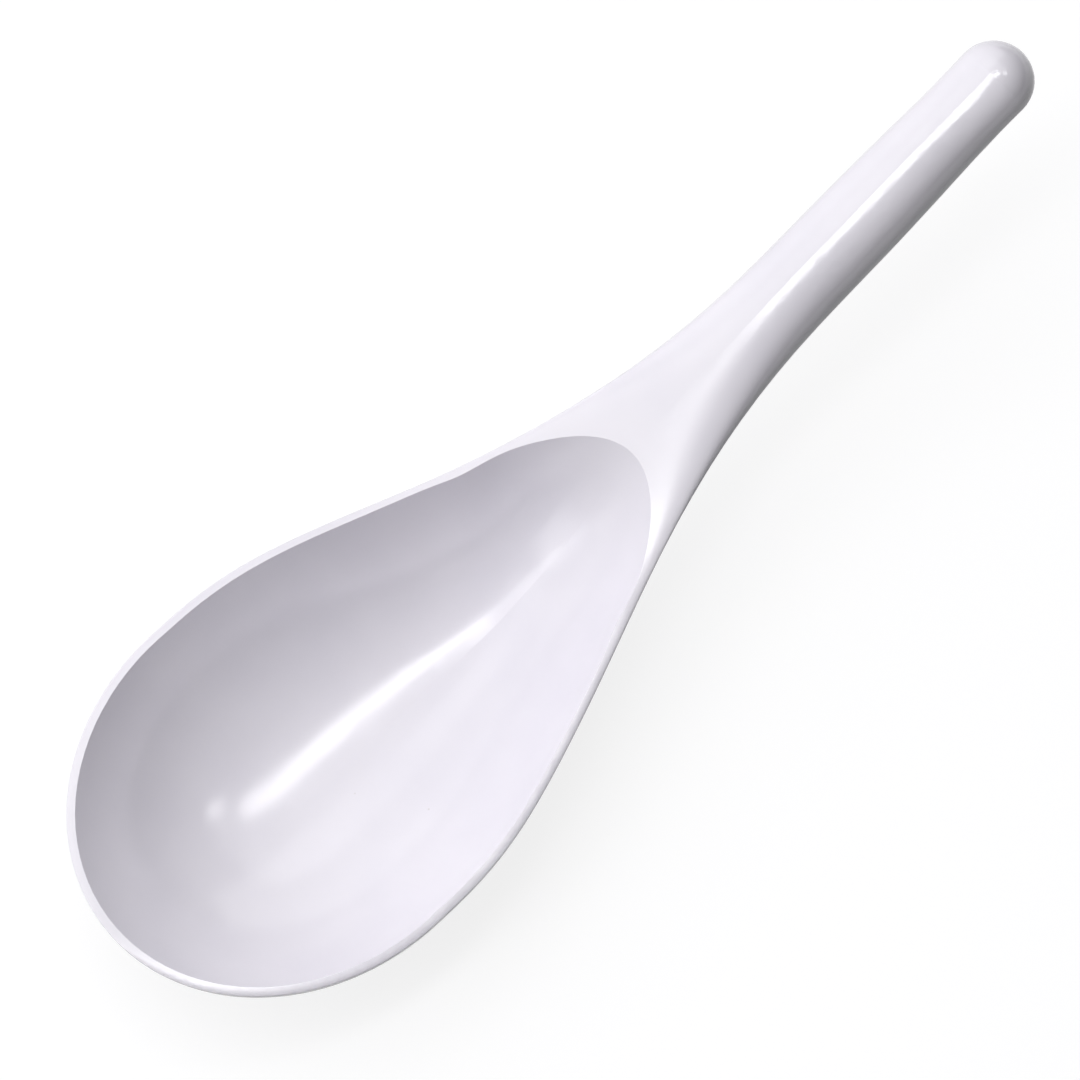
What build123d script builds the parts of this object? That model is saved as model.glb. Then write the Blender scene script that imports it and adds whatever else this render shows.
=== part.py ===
from build123d import *
import math
import os

# A one-piece moulded rice paddle, in millimetres: an egg-shaped bowl whose rim sweeps up at a flared neck
# into a handle with a convex back that is hollow underneath. X runs from the bowl's tip to the handle's
# end, Y across, Z up. The origin is the middle of the small flat that the bowl rests on.

# Bowl
bowl_length = 130.1          # tip to the middle of the rim's neck end
bowl_width = 76.0            # over the outside of the rim, at the widest place
bowl_height = 25.0           # rim above the resting flat
tip_length = 44.2            # tip to the widest place
flat_to_neck = 69.7          # middle of the resting flat to the neck end of the rim
flat_depth = 1.0             # how much of the round bottom the resting flat takes away
keel_end = 50.0              # how far before the neck the bottom begins to rise
floor_wall = 2.8             # wall at the bottom of the bowl
rim_wall = 1.4               # wall at the rim
rim_round = 0.7              # how far the rim's outer edge lies below its top

# Neck and handle
climb_start = 40.0           # how far before the neck the rim begins to climb
climb_bend = 24.0            # length of the bend in which it does so
handle_angle = 14.7          # climb of the handle after the bend, in degrees
neck_width = 28.4            # at the neck end of the rim
neck_belly = 9.6             # underside below the rim, at the neck end of the rim
neck_wall = 2.4              # wall between the bowl and the hollow of the handle
arch_start = 12.0            # how far before the neck the handle's back begins to arch
arch_end = 45.0              # how far after it the back has its whole height
handle_reach = 91.1          # neck end of the rim to the centre of the handle's round end
handle_width = 15.2          # at the round end
handle_depth = 8.4           # back to lower edges
edge_bulge = 1.2             # how far the lower edges bulge, which rounds them
handle_wall = 2.3            # wall of the handle's back and sides
hollow_start = 15.0          # how far before the neck the hollow begins, narrow
hollow_full = 2.0            # how far after it the hollow has its whole width
end_start = 20.0             # how far before the neck the bowl's inside begins to close

# Cutting bodies
lift = 20.0                  # how far the bowl's cutting body stands above the rim
overrun = 20.0               # how far the other cutting bodies stand clear

# Curves of the side and plan views: shares of the way along, and of the width or depth there
flank_shares = ((0.14, 0.990), (0.26, 0.946), (0.41, 0.847), (0.57, 0.717), (0.78, 0.536))
neck_flank_shares = ((0.15, 1.44), (0.31, 1.175), (0.53, 1.09), (0.78, 1.05))
keel_shares = ((0.26, 0.913), (0.556, 0.731), (0.80, 0.53))
underside_shares = ((0.12, 0.57), (0.24, 0.33))
edge_start_share = 0.43

# Shapes of the sections, as shares of their half width and height: the rim and belly shares hold in the
# bowl, and the back and edge shares in the handle
rim_flat_share = 0.98
back_flat_share = 0.64
back_side_share = 0.56
belly_flat_share = 0.50
edge_flat_share = 0.88
belly_side_share = 0.385
steep_share = 0.50
hollow_tip_share = 0.15
hollow_roof_share = 0.62
end_round_power = 2.6
floor_power = 2.4

# Where sections are drawn: shares of the bowl behind its widest place, and of the handle
bowl_station_shares = (0.0, 0.12, 0.25, 0.38, 0.50, 0.62, 0.73, 0.84, 0.93)
handle_station_shares = (0.0, 0.08, 0.17, 0.27, 0.38, 0.50, 0.66, 0.83, 1.0)
hollow_station_shares = (1.0, 0.66, 0.33)
room_station_shares = (0.0, 0.05, 0.14, 0.28, 0.42, 0.55, 0.67, 0.78, 0.88, 0.95, 0.985, 1.015, 1.05)

# Places worked out from the sizes
neck_x = flat_to_neck
tip_x = neck_x - bowl_length
wide_x = tip_x + tip_length
cap_x = neck_x + handle_reach
half_width = bowl_width / 2
half_handle = handle_width / 2
rear_length = neck_x - wide_x
keel_x = neck_x - keel_end
blank_depth = bowl_height + flat_depth
slope = math.tan(math.radians(handle_angle))
halvings = 40


def height_on(line, x):
    """Height of a curve at a place along X, found by halving."""
    low = 0
    high = 1
    for _ in range(halvings):
        middle = (low + high) / 2
        if (line @ middle).X < x:
            low = middle
        else:
            high = middle
    return (line @ low).Y


# Plan view: half widths from the widest place of the bowl to the handle's round end.
plan_points = [(wide_x, half_width)]
plan_points += [(wide_x + a * rear_length, b * half_width) for a, b in flank_shares]
plan_points += [(neck_x, neck_width / 2)]
plan_points += [(neck_x + a * handle_reach, b * half_handle) for a, b in neck_flank_shares]
plan_points += [(cap_x, half_handle)]
plan_line = Spline(*plan_points, tangents=[(1, 0), (1, 0)])

# Underside, as its depth below the rim and below the widest line of the handle.
full_belly = blank_depth - rim_round
belly_points = [(keel_x, full_belly)]
belly_points += [(keel_x + a * keel_end, b * full_belly) for a, b in keel_shares]
belly_points += [(neck_x, neck_belly)]
belly_points += [(neck_x + a * handle_reach, b * neck_belly) for a, b in underside_shares]
belly_points += [(neck_x + edge_start_share * handle_reach, edge_bulge), (cap_x, edge_bulge)]
belly_line = Spline(*belly_points, tangents=[(1, 0), (1, 0)])


def climb(x):
    """How far the rim's line has climbed at a place along X: a bend, then a steady slope."""
    way = max(x - neck_x + climb_start, 0)
    bent = min(way, climb_bend)
    return slope * (bent * bent / (2 * climb_bend) + way - bent)


def eased(x, start, end):
    """From 0 at a start before the neck to 1 at an end after it, level at both."""
    way = min(max((x - neck_x + start) / (start + end), 0), 1)
    return way * way * (3 - 2 * way)


def arch(x):
    """Height of a section's crest above its widest line."""
    return rim_round + (handle_depth - edge_bulge - rim_round) * eased(x, arch_start, arch_end)


def crest(x):
    """Height of the crest at a place along X."""
    return bowl_height - rim_round + climb(x) + arch(x)


def belly(x):
    """Depth of a section below its widest line."""
    if x <= keel_x:
        return full_belly
    return height_on(belly_line, x)


def station(x):
    """The plane of a section: through its crest and square to the climb, with Y pointing up."""
    ahead = climb(x + half_handle)
    behind = climb(x - half_handle)
    return Plane(origin=(x, 0, crest(x)), x_dir=(0, 1, 0), z_dir=(1, 0, (ahead - behind) / handle_width))


def blank_half(x):
    """The right half outline of the blank's section, from its crest to its lowest point."""
    wide = height_on(plan_line, x)
    drop = arch(x)
    deep = belly(x)
    arched = eased(x, arch_start, arch_end)
    back_flat = wide * (rim_flat_share + (back_flat_share - rim_flat_share) * arched)
    belly_flat = wide * (belly_flat_share + (edge_flat_share - belly_flat_share) * arched)
    low = -drop - deep
    back = Bezier((0, 0), (back_flat, 0), (wide, -drop * (1 - back_side_share)), (wide, -drop))
    under = Bezier((wide, -drop), (wide, -drop - belly_side_share * deep), (belly_flat, low), (0, low))
    return [back, under]


def hollow_half(x):
    """The right half outline of the handle's hollow, open far below the lower edges."""
    growth = hollow_tip_share + (1 - hollow_tip_share) * eased(x, hollow_start, hollow_full)
    wide = growth * (height_on(plan_line, x) - handle_wall)
    foot = arch(x) + handle_wall * (1 - eased(x, arch_start, arch_end))
    low = arch(x) + belly(x) + overrun
    roof = hollow_roof_share * wide
    return [
        Line((0, -handle_wall), (roof, -handle_wall)),
        Line((roof, -handle_wall), (wide, -foot)),
        Line((wide, -foot), (wide, -low)),
        Line((wide, -low), (0, -low)),
    ]


def whole(half):
    """A closed section from its right half outline."""
    return make_face(half + [mirror(edge, Plane.YZ) for edge in half])


def dome(half):
    """Half a turn of a right half outline about its own upright line, towards the front of its plane."""
    top = half[0] @ 0
    bottom = half[-1] @ 1
    return revolve(make_face(half + [Line(bottom, top)]), Axis((0, 0, 0), (0, -1, 0)), 180)


def swept(half_outline, places):
    """A body through the sections at places along X, with the handle's round end."""
    body = loft([station(x) * whole(half_outline(x)) for x in places])
    return body + station(cap_x) * dome(half_outline(cap_x))


def room_half(clear, floor, share):
    """The right half outline of the bowl's inside, grown by a clearance, at a share of the way to its end."""
    end = neck_x + clear
    x = wide_x + share * (end - wide_x)
    wide = height_on(plan_line, x) - rim_wall + clear
    closing = max((x - neck_x + end_start) / (end_start + clear), 0)
    opening = wide * wide * (1 - closing**end_round_power)
    rise = max((x - keel_x) / (end - keel_x), 0)
    top = crest(x) - bowl_height
    bottom = floor - bowl_height + (crest(end) - floor) * rise**floor_power
    below = top - bottom
    steep = steep_share * max(below, 0) / wide**4
    gentle = below / opening - steep * opening
    square = 2 * (lift - bottom) / (gentle + math.sqrt(gentle * gentle + 4 * steep * (lift - bottom)))
    reach = math.sqrt(square)
    bend = gentle * square
    wall = Bezier(
        (reach, lift),
        (reach * 3 / 4, bend / 2 + bottom),
        (reach / 2, bend / 6 + bottom),
        (reach / 4, bottom),
        (0, bottom),
    )
    return [Line((0, lift), (reach, lift)), wall]


def room(clear, floor):
    """The inside of the bowl as a body that stands above the rim: smooth from its tip to its neck end."""
    sections = []
    for share in room_station_shares:
        x = wide_x + share * (rear_length + clear)
        place = Plane(origin=(x, 0, bowl_height), x_dir=(0, 1, 0), z_dir=(1, 0, 0))
        sections.append(place * whole(room_half(clear, floor, share)))
    return loft(sections) + tip(room_half(clear, floor, 0), clear - rim_wall)


def tip(half, offset):
    """The tip end of a body: half a turn of its widest section, stretched to the tip's length."""
    place = Plane(origin=(wide_x, 0, bowl_height), x_dir=(0, -1, 0), z_dir=(-1, 0, 0))
    return place * scale(dome(half), by=(1, 1, (tip_length + offset) / (half_width + offset)))


blank_places = [wide_x + share * rear_length for share in bowl_station_shares]
handle_places = [neck_x + share * handle_reach for share in handle_station_shares]
blank = swept(blank_half, blank_places + handle_places)
blank += tip(blank_half(wide_x), 0)

cavity = room(0, floor_wall)
kept = room(neck_wall, floor_wall - neck_wall)
hollow_places = [neck_x - share * hollow_start for share in hollow_station_shares]
hollow = swept(hollow_half, hollow_places + handle_places) - kept

underside = Plane.XY * Box(
    2 * bowl_length + 2 * handle_reach,
    2 * bowl_width,
    overrun,
    align=(Align.CENTER, Align.CENTER, Align.MAX),
)
rice_paddle = blank - hollow - underside - cavity

os.makedirs("parts", exist_ok=True)
export_step(rice_paddle, "parts/rice_paddle.step")
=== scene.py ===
"""Looks for a one-piece moulded melamine rice paddle, seen from above on a white table.

Lengths are in metres, in the frame of the CAD: X from the bowl's tip to the handle's end, Y across and
Z up, with the resting flat under the bowl at the origin.
"""

import logging
import math
from dataclasses import dataclass, field
from enum import Enum, IntEnum

import bmesh
import bpy
from mathutils import Matrix, Vector


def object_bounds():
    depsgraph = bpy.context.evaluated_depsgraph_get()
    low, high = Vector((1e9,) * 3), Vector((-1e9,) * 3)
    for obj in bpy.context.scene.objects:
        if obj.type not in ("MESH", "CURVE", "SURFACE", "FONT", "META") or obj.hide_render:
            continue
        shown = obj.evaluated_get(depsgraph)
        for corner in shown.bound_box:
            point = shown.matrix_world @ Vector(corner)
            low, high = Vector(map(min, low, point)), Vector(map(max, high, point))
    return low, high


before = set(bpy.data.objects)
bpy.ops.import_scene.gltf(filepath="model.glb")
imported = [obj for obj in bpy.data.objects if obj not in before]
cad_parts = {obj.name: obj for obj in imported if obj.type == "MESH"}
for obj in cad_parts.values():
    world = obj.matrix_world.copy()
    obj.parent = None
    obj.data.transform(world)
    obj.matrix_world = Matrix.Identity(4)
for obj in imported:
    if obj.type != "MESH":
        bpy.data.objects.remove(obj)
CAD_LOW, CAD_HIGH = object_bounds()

logging.basicConfig(level=logging.INFO, format="%(message)s")
log = logging.getLogger("rice_paddle")

MM = 0.001
PADDLE_NODE = "rice_paddle"

# Written colours: two hex digits to a channel, and the sRGB curve with its straight foot below a knee
HEX_DIGITS = 2
HEX_BASE = 16
HIGHEST_LEVEL = 255
SRGB_KNEE = 0.04045
SRGB_FOOT = 12.92
SRGB_LIFT = 0.055
SRGB_POWER = 2.4


class LightRay(Enum):
    """Outputs of the Light Path node that tell which ray sees a surface."""

    CAMERA = "Is Camera Ray"
    GLOSSY = "Is Glossy Ray"
    TRANSMISSION = "Is Transmission Ray"


class ColourMix(IntEnum):
    """Sockets of the Mix node for colours, by their numbers because their names aren't unique."""

    SHARE = 0
    FIRST = 6
    SECOND = 7
    RESULT = 2


class Operand(IntEnum):
    """The two inputs of a Math or Add Shader node, by their numbers because they share one name."""

    FIRST = 0
    SECOND = 1


def linear_colour(hex_code: str) -> tuple[float, float, float, float]:
    """Turn an sRGB hex colour into the linear colour that the shaders take.

    Args:
        hex_code: Six hex digits, such as "F2F1F5".

    Returns:
        Red, green, blue and an alpha of 1, all linear.
    """
    channels = []
    for start in range(0, len(hex_code), HEX_DIGITS):
        value = int(hex_code[start:start + HEX_DIGITS], HEX_BASE) / HIGHEST_LEVEL
        if value <= SRGB_KNEE:
            channels.append(value / SRGB_FOOT)
        else:
            channels.append(((value + SRGB_LIFT) / (1 + SRGB_LIFT)) ** SRGB_POWER)
    red, green, blue = channels
    return red, green, blue, 1.0


def add_node(tree: bpy.types.NodeTree, kind: str, settings: dict[str | int, object] | None = None,
             links: dict[str | int, bpy.types.NodeSocket] | None = None) -> bpy.types.Node:
    """Add a shader node with its settings and its incoming links.

    Args:
        tree: The node tree that gets the node.
        kind: The node's type name in Blender.
        settings: Values by attribute name, or by the name or number of an input.
        links: Output sockets by the name or number of the input that they feed.

    Returns:
        The new node.
    """
    node = tree.nodes.new(kind)
    for name, value in (settings or {}).items():
        if isinstance(name, str) and hasattr(node, name):
            setattr(node, name, value)
        else:
            node.inputs[name].default_value = value
    for name, source in (links or {}).items():
        tree.links.new(source, node.inputs[name])
    return node


def new_material(name: str) -> bpy.types.Material:
    """Make a material with an empty node tree."""
    material = bpy.data.materials.new(name)
    material.use_nodes = True
    material.node_tree.nodes.clear()
    return material


@dataclass(frozen=True)
class GlossWhiteMelamine:
    """White melamine resin filled with cellulose, compression moulded in a polished steel mould.

    The resin is a faintly lavender white, a little uneven where the moulding powder flowed, with a few
    darker grains of filler. The mould's polish leaves a hard gloss that mirrors a lamp as a soft-edged
    streak, and the resin's shrinkage a slight orange peel that makes the mirrored edges tremble.
    """

    colour: str = "EBE8F0"
    roughness: float = 0.16
    ior: float = 1.6

    # Flow clouds: patches a few centimetres apart, a shade greyer and a little less polished
    cloud_colour: str = "E6E3EC"
    hazy_roughness: float = 0.20
    cloud_size: float = 24 * MM
    cloud_start: float = 0.45
    cloud_end: float = 0.75
    cloud_detail: float = 2.0

    # Grains of filler: real ones are about 0.2 mm across, which is too fine to show, so these are coarser
    grain_colour: str = "CFCBCB"
    grain_spacing: float = 7 * MM
    grain_radius: float = 0.28 * MM
    grain_share: float = 0.10

    # Orange peel: a few thousandths of a millimetre high, with a few millimetres from crest to crest
    peel_size: float = 3.5 * MM
    peel_height: float = 0.004 * MM
    peel_detail: float = 1.0

    def add_clouds(self, tree: bpy.types.NodeTree, place: bpy.types.NodeSocket) -> bpy.types.NodeSocket:
        """Add the faint unevenness of the flow.

        Args:
            tree: The material's node tree.
            place: The place on the paddle.

        Returns:
            A share that is 0 in clear places and 1 in the middle of a cloud.
        """
        noise = add_node(tree, "ShaderNodeTexNoise", {
            "Scale": 1 / self.cloud_size,
            "Detail": self.cloud_detail,
        }, {"Vector": place})
        clouds = add_node(tree, "ShaderNodeMapRange", {
            "From Min": self.cloud_start,
            "From Max": self.cloud_end,
        }, {"Value": noise.outputs["Fac"]})
        return clouds.outputs["Result"]

    def add_grains(self, tree: bpy.types.NodeTree, place: bpy.types.NodeSocket) -> bpy.types.NodeSocket:
        """Add the few grains of filler that show: each lies in a cell, and only some cells have one.

        Args:
            tree: The material's node tree.
            place: The place on the paddle.

        Returns:
            A share that is 1 in the middle of a grain and 0 between the grains.
        """
        cells = add_node(tree, "ShaderNodeTexVoronoi", {"Scale": 1 / self.grain_spacing}, {"Vector": place})
        inside = add_node(tree, "ShaderNodeMapRange", {
            "From Min": self.grain_radius / self.grain_spacing,
            "From Max": 0.0,
        }, {"Value": cells.outputs["Distance"]})
        pick = add_node(tree, "ShaderNodeSeparateColor", links={"Color": cells.outputs["Color"]})
        chosen = add_node(tree, "ShaderNodeMath", {
            "operation": "LESS_THAN",
            Operand.SECOND: self.grain_share,
        }, {Operand.FIRST: pick.outputs["Red"]})
        grains = add_node(tree, "ShaderNodeMath", {"operation": "MULTIPLY"}, {
            Operand.FIRST: inside.outputs["Result"],
            Operand.SECOND: chosen.outputs["Value"],
        })
        return grains.outputs["Value"]

    def build(self) -> bpy.types.Material:
        """Build the material."""
        material = new_material("gloss_white_melamine")
        tree = material.node_tree
        place = add_node(tree, "ShaderNodeTexCoord").outputs["Object"]
        clouds = self.add_clouds(tree, place)
        clouded = add_node(tree, "ShaderNodeMix", {
            "data_type": "RGBA",
            ColourMix.FIRST: linear_colour(self.colour),
            ColourMix.SECOND: linear_colour(self.cloud_colour),
        }, {ColourMix.SHARE: clouds})
        grained = add_node(tree, "ShaderNodeMix", {
            "data_type": "RGBA",
            ColourMix.SECOND: linear_colour(self.grain_colour),
        }, {
            ColourMix.SHARE: self.add_grains(tree, place),
            ColourMix.FIRST: clouded.outputs[ColourMix.RESULT],
        })
        haze = add_node(tree, "ShaderNodeMapRange", {
            "To Min": self.roughness,
            "To Max": self.hazy_roughness,
        }, {"Value": clouds})
        ripple = add_node(tree, "ShaderNodeTexNoise", {
            "Scale": 1 / self.peel_size,
            "Detail": self.peel_detail,
        }, {"Vector": place})
        peel = add_node(tree, "ShaderNodeBump", {"Distance": self.peel_height},
                        {"Height": ripple.outputs["Fac"]})
        shader = add_node(tree, "ShaderNodeBsdfPrincipled", {"IOR": self.ior}, {
            "Base Color": grained.outputs[ColourMix.RESULT],
            "Roughness": haze.outputs["Result"],
            "Normal": peel.outputs["Normal"],
        })
        add_node(tree, "ShaderNodeOutputMaterial", links={"Surface": shader.outputs["BSDF"]})
        return material


@dataclass(frozen=True)
class MattWhiteCard:
    """A matt card under the paddle: it throws little light back, but is seen and mirrored as white.

    Its own colour is a mid grey that shows the soft shadow, and a glow that only the camera and the
    mirroring or clear surfaces see lifts it to white.
    """

    colour: str = "7C7C7E"
    glow: float = 0.84

    def build(self) -> bpy.types.Material:
        """Build the material."""
        material = new_material("matt_white_card")
        tree = material.node_tree
        card = add_node(tree, "ShaderNodeBsdfDiffuse", {"Color": linear_colour(self.colour)})
        path = add_node(tree, "ShaderNodeLightPath")
        seen = path.outputs[LightRay.CAMERA.value]
        for ray in (LightRay.GLOSSY, LightRay.TRANSMISSION):
            either = add_node(tree, "ShaderNodeMath", {"operation": "MAXIMUM"}, {
                Operand.FIRST: seen,
                Operand.SECOND: path.outputs[ray.value],
            })
            seen = either.outputs["Value"]
        strength = add_node(tree, "ShaderNodeMath", {
            "operation": "MULTIPLY",
            Operand.SECOND: self.glow,
        }, {Operand.FIRST: seen})
        glow = add_node(tree, "ShaderNodeEmission", links={"Strength": strength.outputs["Value"]})
        both = add_node(tree, "ShaderNodeAddShader", links={
            Operand.FIRST: card.outputs["BSDF"],
            Operand.SECOND: glow.outputs["Emission"],
        })
        add_node(tree, "ShaderNodeOutputMaterial", links={"Surface": both.outputs["Shader"]})
        return material


@dataclass
class RicePaddle:
    """The moulded paddle: the CAD body in its finish."""

    finish: GlossWhiteMelamine = field(default_factory=GlossWhiteMelamine)

    def dress(self) -> bpy.types.Object:
        """Give the CAD body its material.

        Returns:
            The paddle's object.
        """
        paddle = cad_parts[PADDLE_NODE]
        paddle.data.materials.clear()
        paddle.data.materials.append(self.finish.build())
        return paddle


@dataclass
class Viewpoint:
    """The camera: above the bowl, a little to the right and towards the tip, with a long lens.

    In the picture the paddle's length climbs to the right by the angle of the diagonal less the roll. The
    aim is a point over the paddle's middle line, seen a few pixels off the middle of the picture.
    """

    side_tilt: float = math.radians(13.5)
    long_tilt: float = math.radians(13.5)
    diagonal: float = math.radians(45)
    roll: float = math.radians(2.51)
    lens: float = 166.7
    sensor: float = 36.0
    distance: float = 924 * MM
    aim_from_tip: float = 113.1 * MM
    aim_height: float = 28 * MM
    picture_pixels: int = 1080
    aim_right_pixels: float = 25.15
    aim_down_pixels: float = -18.04

    def build(self) -> bpy.types.Object:
        """Build the camera and make it the scene's.

        Returns:
            The camera's object.
        """
        ahead = Vector((
            math.sin(self.long_tilt),
            math.sin(self.side_tilt) * math.cos(self.long_tilt),
            -math.cos(self.side_tilt) * math.cos(self.long_tilt),
        ))
        along = Vector((1, 0, 0))
        along = (along - ahead * along.dot(ahead)).normalized()
        across = ahead.cross(along)
        turn = self.roll - self.diagonal
        right = math.cos(turn) * along - math.sin(turn) * across
        down = math.sin(turn) * along + math.cos(turn) * across
        aim = Vector((CAD_LOW.x + self.aim_from_tip, 0, self.aim_height))
        picture_width = self.distance * self.sensor / self.lens
        place = aim - ahead * self.distance
        place -= right * (self.aim_right_pixels / self.picture_pixels) * picture_width
        place -= down * (self.aim_down_pixels / self.picture_pixels) * picture_width
        data = bpy.data.cameras.new("long_lens")
        data.lens = self.lens
        data.sensor_width = self.sensor
        camera = bpy.data.objects.new("viewpoint", data)
        turned = Matrix((right, -down, -ahead)).transposed().to_4x4()
        camera.matrix_world = Matrix.Translation(place) @ turned
        bpy.context.scene.collection.objects.link(camera)
        bpy.context.scene.camera = camera
        return camera


@dataclass(frozen=True)
class SoftLamp:
    """A soft rectangular lamp: its place, the point that it faces, its size and how bright its face is.

    A brightness of 1 is a face as bright as a fully lit white surface. The turn is about the way it
    faces, from where its length lies along X in a lamp that faces straight down.
    """

    name: str
    place: tuple[float, float, float]
    target: tuple[float, float, float]
    length: float
    width: float
    brightness: float
    turn: float = 0.0

    def build(self) -> bpy.types.Object:
        """Hang the lamp.

        Returns:
            The lamp's object.
        """
        data = bpy.data.lights.new(self.name, "AREA")
        data.shape = "RECTANGLE"
        data.size = self.length
        data.size_y = self.width
        # An even face sends out pi watts from each square metre for each unit of its brightness
        data.energy = self.brightness * math.pi * self.length * self.width
        lamp = bpy.data.objects.new(self.name, data)
        place = Vector(self.place)
        facing = (Vector(self.target) - place).to_track_quat("-Z", "Y").to_matrix()
        turned = facing @ Matrix.Rotation(self.turn, 3, "Z")
        lamp.matrix_world = Matrix.Translation(place) @ turned.to_4x4()
        bpy.context.scene.collection.objects.link(lamp)
        return lamp


@dataclass(frozen=True)
class StripPiece:
    """A piece of the overhead strip light: its ends over the table, as X and Y, and its brightness."""

    name: str
    start: tuple[float, float]
    end: tuple[float, float]
    brightness: float

    def hang(self, height: float, width: float) -> SoftLamp:
        """Make the lamp for this piece, facing straight down.

        Args:
            height: How far it hangs over the table.
            width: The width of the strip.

        Returns:
            The lamp, not yet built.
        """
        start = Vector(self.start)
        run = Vector(self.end) - start
        middle = start + run / 2
        return SoftLamp(
            self.name,
            place=(middle.x, middle.y, height),
            target=(middle.x, middle.y, 0.0),
            length=run.length,
            width=width,
            brightness=self.brightness,
            turn=math.atan2(run.y, run.x),
        )


@dataclass
class Studio:
    """The white table, its lamps and the faint light of the room.

    A broad window stands on the left side, seen from the tip, a door opening beyond the tip and a low
    ceiling panel overhead. A narrow strip light along the paddle gives the long highlight in the bowl and
    on the handle: it is bright over the paddle, with a dimmer long piece beyond the tip and a short one,
    past a small gap, beyond the handle's end.
    """

    card: MattWhiteCard = field(default_factory=MattWhiteCard)
    table_half: float = 2.5
    table_drop: float = 0.05 * MM
    room_colour: str = "FFFFFF"
    room_light: float = 0.01
    lamp_aim: tuple[float, float, float] = (0.05, 0.0, 0.02)
    window_place: tuple[float, float, float] = (-0.15, 1.3, 0.98)
    window_length: float = 6.0
    window_height: float = 2.3
    window_brightness: float = 1.05
    door_place: tuple[float, float, float] = (-1.2, 0.15, 0.62)
    door_length: float = 0.7
    door_height: float = 0.45
    door_brightness: float = 1.8
    ceiling_place: tuple[float, float, float] = (-0.1, 0.2, 0.62)
    ceiling_length: float = 1.0
    ceiling_width: float = 0.5
    ceiling_brightness: float = 1.0
    strip_height: float = 0.60
    strip_width: float = 0.075
    strips: tuple[StripPiece, ...] = (
        StripPiece("strip_faint_end", start=(0.35, -0.13), end=(0.265, -0.08), brightness=6.5),
        StripPiece("strip_bright", start=(0.205, 0.0), end=(-0.15, 0.07), brightness=8.0),
        StripPiece("strip_long_end", start=(-0.15, 0.07), end=(-1.09, 0.26), brightness=3.5),
    )

    def build_table(self) -> bpy.types.Object:
        """Build the table top, a hair under the paddle's resting flat so that the two never flicker.

        Returns:
            The table's object.
        """
        mesh = bmesh.new()
        bmesh.ops.create_grid(mesh, x_segments=1, y_segments=1, size=self.table_half)
        data = bpy.data.meshes.new("table")
        mesh.to_mesh(data)
        mesh.free()
        data.materials.append(self.card.build())
        table = bpy.data.objects.new("table", data)
        table.location.z = -self.table_drop
        bpy.context.scene.collection.objects.link(table)
        return table

    def lamps(self) -> list[SoftLamp]:
        """List the lamps: the window, the door, the ceiling panel and the pieces of the strip light."""
        window = SoftLamp("window", self.window_place, self.lamp_aim, self.window_length,
                          self.window_height, self.window_brightness)
        door = SoftLamp("door", self.door_place, self.lamp_aim, self.door_length,
                        self.door_height, self.door_brightness)
        below = (self.ceiling_place[0], self.ceiling_place[1], 0.0)
        ceiling = SoftLamp("ceiling", self.ceiling_place, below, self.ceiling_length,
                           self.ceiling_width, self.ceiling_brightness)
        strips = [piece.hang(self.strip_height, self.strip_width) for piece in self.strips]
        return [window, door, ceiling] + strips

    def light_room(self) -> None:
        """Give the room its faint light, the same from all sides."""
        world = bpy.data.worlds.new("room")
        world.use_nodes = True
        background = world.node_tree.nodes["Background"]
        background.inputs["Color"].default_value = linear_colour(self.room_colour)
        background.inputs["Strength"].default_value = self.room_light
        bpy.context.scene.world = world

    def build(self) -> list[bpy.types.Object]:
        """Build the table, the lamps and the light of the room.

        Returns:
            The table and the lamps.
        """
        pieces = [self.build_table()]
        pieces += [lamp.build() for lamp in self.lamps()]
        self.light_room()
        return pieces


def main() -> None:
    """Build the paddle, the studio and the camera, and report each piece."""
    paddle = RicePaddle().dress()
    log.info("paddle: %s in %s", paddle.name, paddle.data.materials[0].name)
    for piece in Studio().build():
        log.info("studio: %s", piece.name)
    log.info("camera: %s", Viewpoint().build().name)
    bpy.context.scene.view_settings.view_transform = "Standard"


if __name__ == "__main__":
    main()
